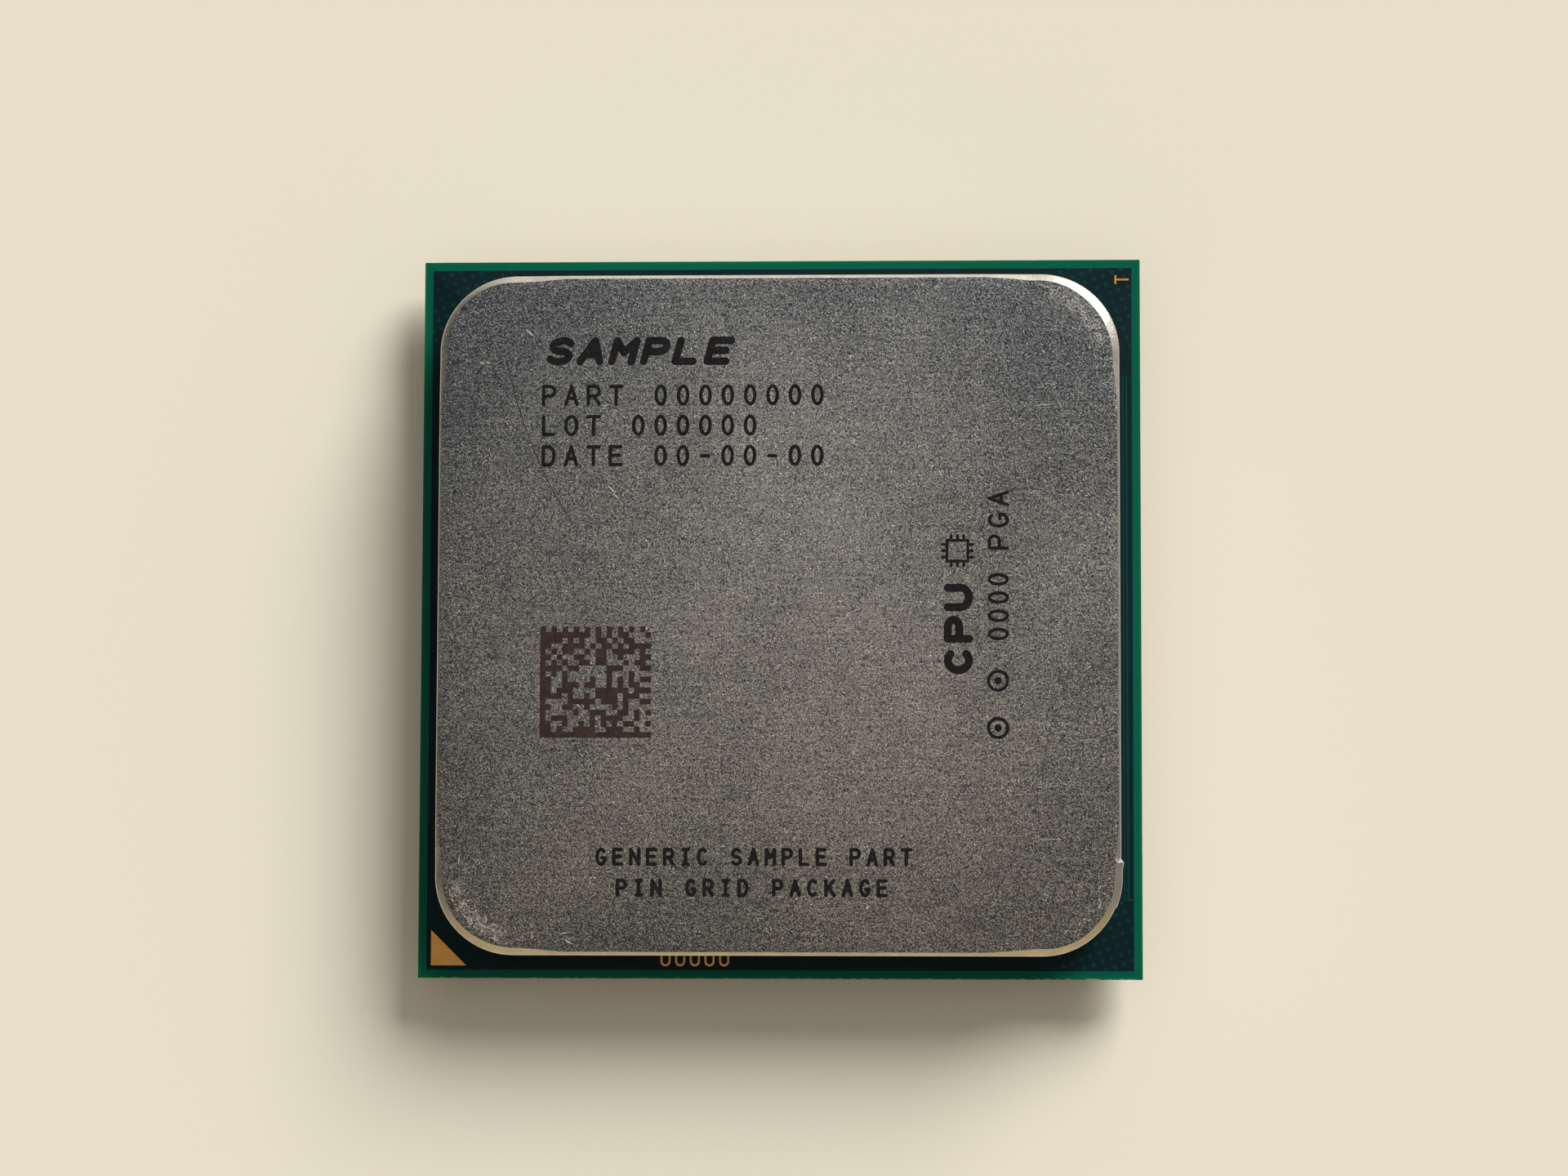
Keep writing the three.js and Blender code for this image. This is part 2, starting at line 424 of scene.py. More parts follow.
def polished_arcs(tree, axes, fade):
    """Where handling has rubbed the face bright, just inside two opposite corners."""
    reach = LID_HALF - LID_CORNER_RADIUS
    past = []
    for axis in (0, 1):
        out = minus(tree, size_of(tree, axes.outputs[axis]), reach)
        past.append(maths(tree, "MAXIMUM", out, 0.0))
    radius = length_of(tree, node(tree, "CombineXYZ", {"X": past[0], "Y": past[1]}))
    away = size_of(tree, minus(tree, radius, LID_CORNER_RADIUS - POLISHED_INSET))
    band = ramp(tree, away, 0.1, 0.6, 1.0, 0.0)
    both_axes = ramp(tree, times(tree, past[0], past[1]), 0.3, 2.0)
    same_sign = ramp(tree, times(tree, axes.outputs[0], axes.outputs[1]), 0, 1)
    share = times(tree, times(tree, band, both_axes), same_sign)
    return times(tree, share, ramp(tree, fade, 0.3, 0.6, 0.5, 1.0))


def darker_outwards(tree, place):
    """The face is a little darker away from its middle."""
    flat = node(tree, "VectorMath", {0: place, 1: (1, 1, 0)}, operation="MULTIPLY")
    return ramp(tree, length_of(tree, flat), 0.3 * LID_HALF, 1.1 * LID_HALF)


def rim_material():
    """The lid's coined rim: the same plate, smoother and brighter."""
    material, tree, shader = new_material("coined_nickel", 0.25, metallic=1.0)
    place = place_in_mm(tree)
    grain = blasted_grain(tree, place)
    worn = noise_field(tree, place, 1.2, 3.0)
    shade = times(tree, plus(tree, grain, times(tree, worn, 2.0)), 0.33)
    colour = mix_colours(tree, shade, (0.5, 0.47, 0.42, 1), (0.86, 0.82, 0.74, 1))
    connect(tree, shader, colour, bump(tree, grain, 0.004, 0.6), ramp(tree, grain, 0.0, 1.0, 0.19, 0.12))
    return material


def side_material():
    """The lid's stamped sides: satin plate with faint upright draw marks."""
    material, tree, shader = new_material("stamped_nickel", 0.36, metallic=1.0)
    place = place_in_mm(tree)
    marks = noise_field(tree, place, 1.0, 3.0, (7, 7, 0.7))
    cloud = noise_field(tree, place, 0.5, 3.0)
    pits = noise_field(tree, place, 14.0, 2.0)
    shade = times(tree, plus(tree, plus(tree, marks, cloud), pits), 0.34)
    shade = ramp(tree, shade, 0.38, 0.62)
    colour = mix_colours(tree, shade, (0.4, 0.385, 0.355, 1), (0.66, 0.63, 0.57, 1))
    normal = bump(tree, plus(tree, marks, pits), 0.004)
    connect(tree, shader, colour, normal, ramp(tree, cloud, 0.3, 0.7, 0.42, 0.3))
    return material


def etched_material(name, dark, light):
    """Laser-darkened nickel, where a little of the metal's grain still shows."""
    material, tree, shader = new_material(name, 0.55, metallic=0.1, specular=0.15)
    place = place_in_mm(tree)
    grain = blasted_grain(tree, place)
    worn = noise_field(tree, place, 2.2, 4.0)
    shade = times(tree, grain, ramp(tree, worn, 0.4, 0.65, 0.35, 1.0))
    connect(tree, shader, mix_colours(tree, shade, dark, light), bump(tree, grain, 0.008, 0.6))
    return material


def mask_top_material():
    """Solder mask: bright green over bare laminate at the border, near black over the copper inside it."""
    material, tree, shader = new_material("solder_mask_top", 0.3, specular=0.08)
    place = place_in_mm(tree)
    axes = node(tree, "SeparateXYZ", {"Vector": place})
    out = maths(tree, "MAXIMUM", size_of(tree, axes.outputs[0]), size_of(tree, axes.outputs[1]))
    edge = BOARD_HALF - BORDER_WIDTH
    border = ramp(tree, out, edge - 0.02, edge + 0.02)
    cloud = noise_field(tree, place, 0.5, 3.0)
    fine = noise_field(tree, place, 9.0, 2.0)
    plane = mix_colours(tree, cloud, (0.004, 0.009, 0.011, 1), (0.003, 0.019, 0.022, 1))
    dots = times(tree, dot_field(tree, place), dot_fade(tree, axes, cloud))
    dotted = mix_colours(tree, dots, plane, (0.0015, 0.038, 0.039, 1))
    traced = mix_colours(tree, trace_field(tree, axes), dotted, (0.001, 0.04, 0.04, 1))
    bright_edge = ramp(tree, out, BOARD_HALF - 0.2, BOARD_HALF - 0.02)
    rim = mix_colours(tree, bright_edge, (0.0004, 0.09, 0.056, 1), (0.001, 0.125, 0.04, 1))
    specks = ramp(tree, fine, 0.74, 0.78, 0.0, 0.5)
    rim = mix_colours(tree, specks, rim, (0.05, 0.25, 0.2, 1))
    rim = mix_colours(tree, bare_fibres(tree, place, axes), rim, (0.5, 0.46, 0.3, 1))
    colour = mix_colours(tree, border, traced, rim)
    connect(tree, shader, colour, bump(tree, fine, 0.004, 0.4), ramp(tree, fine, 0.3, 0.7, 0.28, 0.4))
    return material


def bare_fibres(tree, place, axes):
    """Dashes of pale glass at the routed edge nearest the front."""
    dashes = ramp(tree, noise_field(tree, place, 1.0, 2.0, (2.2, 0.5, 1.0)), 0.5, 0.56)
    at_edge = ramp(tree, axes.outputs[1], -BOARD_HALF + 0.02, -BOARD_HALF + 0.05, 1.0, 0.0)
    return times(tree, dashes, at_edge)


def dot_field(tree, place):
    """Small round openings in the copper plane, on a turned square grid."""
    pitch = 1 / DOT_PITCH
    grid = {"Vector": place, "Rotation": (0, 0, math.radians(DOT_TURN)), "Scale": (pitch, pitch, 0)}
    cell = node(tree, "VectorMath", {0: node(tree, "Mapping", grid)}, operation="FRACTION")
    centred = node(tree, "VectorMath", {0: cell, 1: (0.5, 0.5, 0)}, operation="SUBTRACT")
    radius = DOT_RADIUS / DOT_PITCH
    return ramp(tree, length_of(tree, centred), radius * 0.5, radius * 1.4, 1.0, 0.0)


def dot_fade(tree, axes, cloud):
    """The openings show only in the corners beside the lid's arcs. At the marker's corner they are left out
    as painted shade, so that corner stays dark.
    """
    across, along = axes.outputs[0], axes.outputs[1]
    inner = LID_HALF - LID_CORNER_RADIUS
    in_corner = maths(tree, "MINIMUM", size_of(tree, across), size_of(tree, along))
    shown = ramp(tree, in_corner, inner, inner + 1.0)
    # Painted shade: no openings at the marker's corner, where shade hid them.
    clear_of_painted_shade = ramp(tree, plus(tree, across, along), -2 * inner, -inner)
    patchy = ramp(tree, cloud, 0.35, 0.6, 0.35, 1.0)
    return times(tree, times(tree, shown, clear_of_painted_shade), patchy)


def trace_field(tree, axes):
    """Two fine gaps in the copper plane beside the lid, with a short branch to the border."""
    x, y = axes.outputs[0], axes.outputs[1]
    front, back = TRACE_ENDS
    run = times(tree, ramp(tree, y, front, front + 0.1), ramp(tree, y, back, back + 0.1, 1.0, 0.0))
    gaps = None
    for middle, half in TRACE_GAPS:
        away = size_of(tree, minus(tree, x, middle))
        gap = ramp(tree, away, half * 0.7, half * 1.4, 1.0, 0.0)
        gaps = gap if gaps is None else maths(tree, "MAXIMUM", gaps, gap)
    inner = TRACE_GAPS[0][0]
    away = size_of(tree, minus(tree, y, front + 0.08))
    branch = times(tree, ramp(tree, away, 0.02, 0.05, 1.0, 0.0), ramp(tree, x, inner - 0.07, inner - 0.02))
    return maths(tree, "MAXIMUM", times(tree, gaps, run), branch)


def cut_edge_material():
    """The routed side of the laminate: amber resin, dashes of pale glass, copper lines and green skins."""
    material, tree, shader = new_material("cut_laminate", 0.7, specular=0.3)
    place = place_in_mm(tree)
    height = node(tree, "SeparateXYZ", {"Vector": place}).outputs[2]
    fibres = noise_field(tree, place, 12.0, 2.0)
    cloud = ramp(tree, noise_field(tree, place, 0.7, 3.0), 0.35, 0.65)
    colour = mix_colours(tree, cloud, (0.13, 0.105, 0.04, 1), (0.23, 0.19, 0.085, 1))
    bundles = ramp(tree, noise_field(tree, place, 1.0, 2.0, (1.5, 1.5, 7)), 0.44, 0.56)
    plies = ramp(tree, maths(tree, "PINGPONG", height, PLY_THICKNESS), 0.008, 0.024, 1.0, 0.0)
    glass = times(tree, times(tree, bundles, plies), 0.6)
    colour = mix_colours(tree, glass, colour, (0.46, 0.43, 0.29, 1))
    thickness = board_high.z - board_low.z
    for share in (0.1, 0.2, 0.8, 0.9):
        away = size_of(tree, minus(tree, height, board_low.z + share * thickness))
        copper = ramp(tree, away, COPPER_HALF, COPPER_HALF * 1.8, 1.0, 0.0)
        colour = mix_colours(tree, copper, colour, (0.3, 0.13, 0.06, 1))
    out = size_of(tree, minus(tree, height, board_low.z + thickness / 2))
    skin = ramp(tree, out, thickness / 2 - 0.06, thickness / 2 - 0.045)
    colour = mix_colours(tree, skin, colour, (0.003, 0.12, 0.07, 1))
    connect(tree, shader, colour, bump(tree, fibres, 0.02, 0.7))
    return material


def mask_under_material():
    """The mask below, round the pins: green, with faint clouds and a fine skin."""
    material, tree, shader = new_material("solder_mask_under", 0.35, specular=0.3)
    place = place_in_mm(tree)
    cloud = noise_field(tree, place, 0.7, 3.0)
    fine = noise_field(tree, place, 9.0, 2.0)
    colour = mix_colours(tree, cloud, (0.003, 0.05, 0.035, 1), (0.004, 0.085, 0.055, 1))
    connect(tree, shader, colour, bump(tree, fine, 0.004, 0.4))
    return material


def metal_material(name, dark, light, roughness, scale, depth):
    """A plated or soldered metal with uneven tone and fine bumps."""
    material, tree, shader = new_material(name, roughness, metallic=1.0)
    place = place_in_mm(tree)
    cloud = noise_field(tree, place, scale, 3.0)
    fine = noise_field(tree, place, scale * 6, 2.0)
    uneven = ramp(tree, fine, 0.3, 0.7, roughness * 0.8, roughness * 1.3)
    connect(tree, shader, mix_colours(tree, cloud, dark, light), bump(tree, fine, depth), uneven)
    return material


def dull_material(name, dark, light, roughness, scale, depth, specular=0.4):
    """A ceramic, epoxy or rubber with uneven tone and a fine skin."""
    material, tree, shader = new_material(name, roughness, specular=specular)
    place = place_in_mm(tree)
    cloud = noise_field(tree, place, scale, 3.0)
    fine = noise_field(tree, place, scale * 5, 2.0)
    connect(tree, shader, mix_colours(tree, cloud, dark, light), bump(tree, fine, depth))
    return material


# A metal's or a dull look's numbers are its roughness, its clouds a millimetre and its bumps' depth.
nickel = lid_material()
rim_nickel = rim_material()
side_nickel = side_material()
mask_top = mask_top_material()
mask_under = mask_under_material()
cut_edge = cut_edge_material()
etched = etched_material("laser_mark", (0.0025, 0.002, 0.0025, 1), (0.02, 0.017, 0.017, 1))
code_brown = etched_material("laser_code", (0.026, 0.014, 0.011, 1), (0.062, 0.04, 0.033, 1))
# The scuffs are real wear, but their pale, non-metallic colour is a painted glint: it stands in for bare
# metal catching the light.
scratch_with_painted_glint = dull_material(
    "scratch_with_painted_glint", (0.4, 0.37, 0.32, 1), (0.78, 0.73, 0.65, 1), 0.4, 2.0, 0.002
)
# The long scratch is real, but its near-black colour is painted shade, as would lie in its groove.
scratch_groove_shade = metal_material("scratch_groove_shade", (0.03, 0.03, 0.034, 1), (0.1, 0.097, 0.1, 1), 0.5, 2.0, 0.002)
mark_gold = metal_material("mark_gold", (0.72, 0.34, 0.07, 1), (0.92, 0.48, 0.13, 1), 0.42, 1.5, 0.004)
pin_gold = metal_material("pin_gold", (0.76, 0.51, 0.2, 1), (0.86, 0.61, 0.27, 1), 0.25, 0.6, 0.0004)
pin_solder = metal_material("pin_solder", (0.34, 0.34, 0.33, 1), (0.6, 0.59, 0.57, 1), 0.38, 3.0, 0.01)
thermal_solder = metal_material(
    "thermal_solder", (0.5, 0.5, 0.52, 1), (0.68, 0.69, 0.7, 1), 0.45, 0.8, 0.01
)
tinned = metal_material("tinned_end", (0.55, 0.55, 0.53, 1), (0.75, 0.74, 0.71, 1), 0.36, 5.0, 0.008)
rubber = dull_material("sealant_rubber", (0.012, 0.012, 0.013, 1), (0.03, 0.03, 0.032, 1), 0.65, 1.5, 0.01)
silicon = dull_material(
    "silicon", (0.05, 0.055, 0.07, 1), (0.085, 0.09, 0.11, 1), 0.12, 0.4, 0.001, specular=0.9
)
epoxy = dull_material("underfill_epoxy", (0.02, 0.02, 0.023, 1), (0.045, 0.043, 0.045, 1), 0.35, 2.0, 0.01)
ceramic = dull_material("capacitor_ceramic", (0.2, 0.12, 0.06, 1), (0.32, 0.21, 0.12, 1), 0.6, 5.0, 0.006)


# ------------------------------------------------------------------------- lid


def burr_bulge(point):
    """How far a knock has pushed the lid's right edge out: a lip, a smear below it and a heel."""
    if point.x < LID_HALF - LID_CORNER_RADIUS:
        return 0.0
    t = (BURR_TOP - point.y) / BURR_LENGTH
    if not 0 < t < 1:
        return 0.0
    lip = BURR_LIP * bell(t, 0.08, 0.07)
    smear = BURR_SMEAR * smooth_step(t / 0.1) * smooth_step((1 - t) / 0.2)
    heel = BURR_HEEL * bell(t, 0.93, 0.04)
    return lip + smear + heel


def lid_rings():
    """Rings from the cavity's ceiling, down its wall, under the flange, up the side and over the rim."""
    steps = LID_SIDE_STEPS, LID_CORNER_STEPS
    stations = square_stations(LID_HALF, LID_CORNER_RADIUS, *steps)
    hollow = square_stations(LID_HALF - LID_FLANGE, CAVITY_CORNER_RADIUS, *steps)
    ceiling = box_mm("solder_layer")[1].z
    bottom = lid_low.z
    wall = [(0.4, ceiling), (0.12, ceiling - 0.05), (0, ceiling - 0.2), (0, bottom + 0.12), (-0.1, bottom)]
    foot = [(0.16, bottom), (0.04, bottom + 0.05), (0, bottom + 0.18)]
    rings = [[(*(point - normal * inset), z) for point, normal, _ in hollow] for inset, z in wall]
    rings += [[(*(point - normal * inset), z) for point, normal, _ in stations] for inset, z in foot]
    rings.append([(*station[0], rim_foot(station)[1] - BURR_DEPTH) for station in stations])
    for step in range(RIM_ROLL_STEPS + 1):
        rings.append([roll_point(station, step / RIM_ROLL_STEPS) for station in stations])
    for share in (0.5, 1.0):
        rings.append([slope_point(station, share) for station in stations])
    for extra, rise in ((0.15, 0.8), (0.6, 1.0)):
        rings.append([top_point(station, extra, rise) for station in stations])
    return rings


def rim_width(station):
    """The rim is narrow along the sides, wide round the corners and widest at the one at +X +Y."""
    point, normal, away = station
    diagonal = 2 * normal.x * normal.y
    side = LID_RIM + LID_RIM_EXTRA * abs(normal.y)
    corner = LID_CORNER_RIM + RIM_LEAN * (diagonal + abs(diagonal) * normal.x)
    width = side + (corner - side) * smooth_step(1 - away / LID_RIM_BLEND)
    return width * (1 + 0.05 * noise.noise(Vector((point.x, point.y, 0)) * 1.3))


def rim_foot(station):
    """How far in the rim's flat slope starts, and the height it starts at."""
    rise = math.pi / 2 - RIM_SLOPE
    inset = RIM_ROLL * (1 - math.cos(rise))
    return inset, lid_high.z - LID_CROWN - (rim_width(station) - inset) * math.tan(RIM_SLOPE)


def roll_point(station, share):
    """A point on the small roll that joins the lid's upright side to the rim's slope."""
    point, normal, _ = station
    rise = math.pi / 2 - RIM_SLOPE
    inset = RIM_ROLL * (1 - math.cos(rise * share))
    z = rim_foot(station)[1] - RIM_ROLL * (math.sin(rise) - math.sin(rise * share))
    return (*(point + normal * (burr_bulge(point) - inset)), z)


def slope_point(station, share):
    """A point on the rim's flat slope, which ends in a crisp edge at the face."""
    point, normal, _ = station
    inset, z = rim_foot(station)
    inset += (rim_width(station) - inset) * share
    place = point + normal * (burr_bulge(point) * (1 - 0.5 * share) - inset)
    return (*place, z + (lid_high.z - LID_CROWN - z) * share)


def top_point(station, extra, rise):
    """A point on the face, inside the rim by extra, where the crown has risen by a share of its height."""
    point, normal, _ = station
    place = point - normal * (rim_width(station) + extra)
    return (*place, lid_high.z - LID_CROWN * (1 - rise))


def make_lid():
    """The whole cap as one loft, with the side's look below the rim's and the face's at the top."""
    lid = Solid()
    rings = lid_rings()
    lid.loft(rings)
    count = len(rings[0])
    rim = RIM_ROLL_STEPS + 2
    plain = (len(rings) - rim - 3) * count
    lid.kinds = [2] * plain + [1] * (rim * count) + [0] * (2 * count) + [2, 0]
    add_piece("lid_shell", lid, [nickel, rim_nickel, side_nickel], ["lid"], sharp=16)


def make_sealant():
    """The squeezed bead of silicone under the flange, open at the vent."""
    half = LID_HALF - BEAD_INSET
    stations = square_stations(half, LID_CORNER_RADIUS - BEAD_INSET, 60, 16)
    low, high = box_mm("sealant_bead")
    path = [s for s in stations if not (s[0].y > 0 and abs(s[0].x) < BEAD_VENT / 2)]
    gap = max(range(len(path)), key=lambda i: (path[i][0] - path[i - 1][0]).length)
    path = path[gap:] + path[:gap]
    rings = []
    for i, (point, normal, _) in enumerate(path):
        wander = BEAD_WANDER * noise.noise(Vector((point.x, point.y, 4)) * 0.8)
        taper = smooth_step((min(i, len(path) - 1 - i) + 1) / 3)
        half_width = (BEAD_WIDTH / 2 + wander) * taper
        bulged = half_width + BEAD_BULGE * taper
        waist = (low.z + high.z) / 2
        outer = [(-half_width, low.z), (-bulged, waist), (-half_width, high.z)]
        inner = [(half_width, high.z), (bulged, waist), (half_width, low.z)]
        section = [(BEAD_WIDTH / 2 + out, z) for out, z in outer + inner]
        rings.append([(*(point - normal * inset), z) for inset, z in reversed(section)])
    bead = Solid()
    bead.loft(rings)
    add_piece("sealant", bead, [rubber], ["sealant_bead"], sharp=60)


# ----------------------------------------------------------------------- board


def make_board():
    """The board with its routed, slightly ragged side and the step where the copper plane starts."""
    stations = square_stations(BOARD_HALF, BOARD_CORNER, BOARD_SIDE_STEPS, 2)
    low, high = board_low.z, board_high.z
    skin = high - COPPER_STEP
    levels = [(0.02, low), (0.0, low + 0.03)]
    levels += [(0.0, low + (high - low) * share) for share in (0.15, 0.3, 0.45, 0.6, 0.75, 0.88)]
    levels += [(0.0, skin - 0.03), (0.015, skin)]
    rings = []
    for inset, z in levels:
        ring = []
        for point, normal, _ in stations:
            inside = low + 0.05 < z < skin - 0.05
            rough = noise.noise(Vector((point.x * 2.3, point.y * 2.3, z * 5))) if inside else 0.0
            fray = noise.noise(Vector((point.x * 0.9, point.y * 0.9, 3.0)))
            ragged = CUT_ROUGHNESS * abs(rough) + CUT_FRAY * abs(fray)
            ring.append((*(point - normal * (inset + ragged)), z))
        rings.append(ring)
    for inset, z in ((BORDER_WIDTH - 0.03, skin), (BORDER_WIDTH + 0.03, high)):
        flat = square_stations(BOARD_HALF - inset, BOARD_CORNER, BOARD_SIDE_STEPS, 2)
        rings.append([(*point, z) for point, _, _ in flat])
    board = Solid()
    board.loft(rings)
    count = len(stations)
    side_rings = len(levels) - 1
    board.kinds = [1] * (side_rings * count) + [0] * (2 * count) + [2, 0]
    add_piece("board_laminate", board, [mask_top, cut_edge, mask_under], ["board"])


# ------------------------------------------------------------------------ pins


def pin_columns(node_name):
    """The X places of a comb's pins, in millimetres, read from its tips."""
    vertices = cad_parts[node_name].data.vertices
    sides = sorted({round(v.co.x / MM, 3) for v in vertices if v.co.z < 0.1 * MM})
    return [(left + right) / 2 for left, right in zip(sides[::2], sides[1::2])]


def make_pin_row(node_name):
    """Separate round pins, each with a chamfered tip and a soldered nail head."""
    low, high = box_mm(node_name)
    y = (low.y + high.y) / 2
    row = Solid()
    root = high.z
    pin = [(PIN_TIP_RADIUS, 0.0), (0.125, 0.03), (PIN_RADIUS, PIN_TIP_HEIGHT), (PIN_RADIUS, root - 0.02)]
    head = root - PIN_FILLET_HEIGHT
    solder = [(PIN_RADIUS + 0.004, head), (0.19, root - 0.22), (0.235, root - 0.12)]
    solder += [(PIN_HEAD_RADIUS, root - 0.05), (PIN_HEAD_RADIUS + 0.04, root)]
    for x in pin_columns(node_name):
        row.lathe(x, y, pin, 12)
        row.lathe(x, y, solder, 14, kind=1)
    name = node_name.replace("pin_row", "pins")
    add_piece(name, row, [pin_gold, pin_solder], [node_name], sharp=50)


def make_pins():
    """A row of finished pins for each comb in the CAD."""
    for name in sorted(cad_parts):
        if name.startswith("pin_row"):
            make_pin_row(name)


# ------------------------------------------------- pieces sealed under the lid


def rounded_block_rings(low, high, radius):
    """Rings of a box whose upright edges and rims are rounded."""
    middle = (low + high) / 2
    half = (high - low) / 2
    rings = []
    bevel = ((0.75, 0.0), (0.2, 0.3), (0.0, 1.0))
    insets = [(radius * inset, low.z + radius * rise) for inset, rise in bevel]
    insets += [(radius * inset, high.z - radius * rise) for inset, rise in reversed(bevel)]
    for inset, z in insets:
        ring = []
        for quarter in range(4):
            sx = 1 if quarter in (0, 3) else -1
            sy = 1 if quarter in (0, 1) else -1
            for i in range(4):
                a = math.pi / 2 * (quarter + i / 3)
                x = middle.x + sx * (half.x - radius) + (radius - inset) * math.cos(a)
                y = middle.y + sy * (half.y - radius) + (radius - inset) * math.sin(a)
                ring.append((x, y, z))
        rings.append(ring)
    return rings


def make_capacitor(node_name):
    """A ceramic chip between two tinned end caps that stand a little proud."""
    low, high = box_mm(node_name)
    size = high - low
    long_axis = 0 if size.x > size.y else 1
    cap_length = CAP_SHARE * size[long_axis]
    chip = Solid()
    body_low, body_high = low.copy(), high.copy()
    for axis in range(3):
        shrink = cap_length * 0.5 if axis == long_axis else CHIP_RECESS
        body_low[axis] += shrink
        body_high[axis] -= shrink
    chip.loft(rounded_block_rings(body_low, body_high, 0.03))
    for end in (0, 1):
        cap_low, cap_high = low.copy(), high.copy()
        if end:
            cap_low[long_axis] = high[long_axis] - cap_length
        else:
            cap_high[long_axis] = low[long_axis] + cap_length
        chip.loft(rounded_block_rings(cap_low, cap_high, 0.05), kind=1)
    name = node_name.replace("capacitor", "chip_capacitor")
    add_piece(name, chip, [ceramic, tinned], [node_name], sharp=40)


def make_inner_pieces():
    """A finished capacitor for each one in the CAD."""
    for name in sorted(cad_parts):
        if name.startswith("capacitor"):
            make_capacitor(name)


def dress_cad_nodes():
    """The CAD nodes whose shape is already right get their finished materials."""
    looks = {"die": silicon, "solder_layer": thermal_solder, "underfill": epoxy}
    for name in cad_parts:
        if name in ("corner_marker", "fiducial") or name.startswith("board_digit"):
            looks[name] = mark_gold
    for name, material in looks.items():
        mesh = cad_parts[name].data
        mesh.materials.clear()
        mesh.materials.append(material)


# --------------------------------------------------------- marks on the lid

# A plain stroke alphabet. Each letter fills a cell one unit wide and high, and is drawn with
# lines (x0, y0, x1, y1) and arcs (centre x, centre y, radius x, radius y, first angle, last angle).
BOWL = [(0, 0, 0, 1), (0, 1, 0.6, 1), (0, 0.46, 0.6, 0.46), (0.6, 0.73, 0.38, 0.27, -90, 90)]
LETTERS = {
    "A": [(0, 0, 0.5, 1), (0.5, 1, 1, 0), (0.17, 0.34, 0.83, 0.34)],
    "C": [(0.52, 0.5, 0.5, 0.5, 48, 312)],
    "D": [(0, 0, 0, 1), (0, 1, 0.45, 1), (0, 0, 0.45, 0), (0.45, 0.5, 0.53, 0.5, -90, 90)],
    "E": [(0, 0, 0, 1), (0, 1, 0.95, 1), (0, 0.52, 0.8, 0.52), (0, 0, 0.95, 0)],
    "G": [(0.52, 0.5, 0.5, 0.5, 48, 350), (1, 0.42, 0.6, 0.42)],
    "I": [(0.5, 0, 0.5, 1), (0.2, 1, 0.8, 1), (0.2, 0, 0.8, 0)],
    "K": [(0, 0, 0, 1), (0, 0.38, 0.95, 1), (0.32, 0.6, 1, 0)],
    "L": [(0, 0, 0, 1), (0, 0, 0.9, 0)],
    "M": [(0, 0, 0, 1), (0, 1, 0.5, 0.42), (0.5, 0.42, 1, 1), (1, 1, 1, 0)],
    "N": [(0, 0, 0, 1), (0, 1, 1, 0), (1, 0, 1, 1)],
    "O": [(0.5, 0.5, 0.5, 0.5, 0, 360)],
    "P": BOWL,
    "R": BOWL + [(0.5, 0.46, 1, 0)],
    "S": [(0.5, 0.745, 0.46, 0.255, 28, 270), (0.5, 0.245, 0.48, 0.245, 90, -152)],
    "T": [(0.5, 0, 0.5, 1), (0, 1, 1, 1)],
    "U": [(0, 1, 0, 0.4), (1, 1, 1, 0.4), (0.5, 0.4, 0.5, 0.4, 180, 360)],
    "0": [(0.5, 0.5, 0.42, 0.5, 0, 360)],
    "-": [(0.2, 0.48, 0.8, 0.48)],
}


def stroke_path(stroke):
    """A stroke's points in its unit cell, and whether it closes on itself."""
    if len(stroke) == 4:
        return [stroke[:2], stroke[2:]], False
    x, y, rx, ry, first, last = stroke
    whole = abs(last - first) == 360
    steps = max(8, round(abs(last - first) / 12))
    count = steps if whole else steps + 1
    angles = [math.radians(first + (last - first) * i / steps) for i in range(count)]
    return [(x + rx * math.cos(a), y + ry * math.sin(a)) for a in angles], whole


def etch_words(name, words, start, cap, width, pitch, line, turn=0.0, slant=0.0):
    """Words in the stroke alphabet, as thin raised strokes on the lid's face.

    start is the first letter's lower left, cap the letters' height and line the strokes' width.
    """
    mark = Solid()
    base = lid_high.z - MARK_DEPTH
    cos, sin = math.cos(math.radians(turn)), math.sin(math.radians(turn))
    for index, letter in enumerate(words):
        for order, stroke in enumerate(LETTERS.get(letter, [])):
            path, closed = stroke_path(stroke)
            placed = []
            for x, y in path:
                across = index * pitch + line / 2 + x * (width - line) + slant * y * cap
                up = line / 2 + y * (cap - line)
                placed.append((start[0] + across * cos - up * sin, start[1] + across * sin + up * cos))
            top = lid_high.z + MARK_DEPTH * (1 + 0.1 * order)
            mark.ribbon(placed, line / 2, base, top, closed)
    add_piece(name, mark, [etched])


def etch_ring(name, centre, radius, line):
    """A plain ring mark with a dot in it."""
    mark = Solid()
    base = lid_high.z - MARK_DEPTH
    top = lid_high.z + MARK_DEPTH
    mark.ribbon(around(centre, radius, 32), line / 2, base, top, closed_path=True)
    mark.lathe(*centre, [(radius * 0.4, base), (radius * 0.4, top)], 20)
    add_piece(name, mark, [etched])


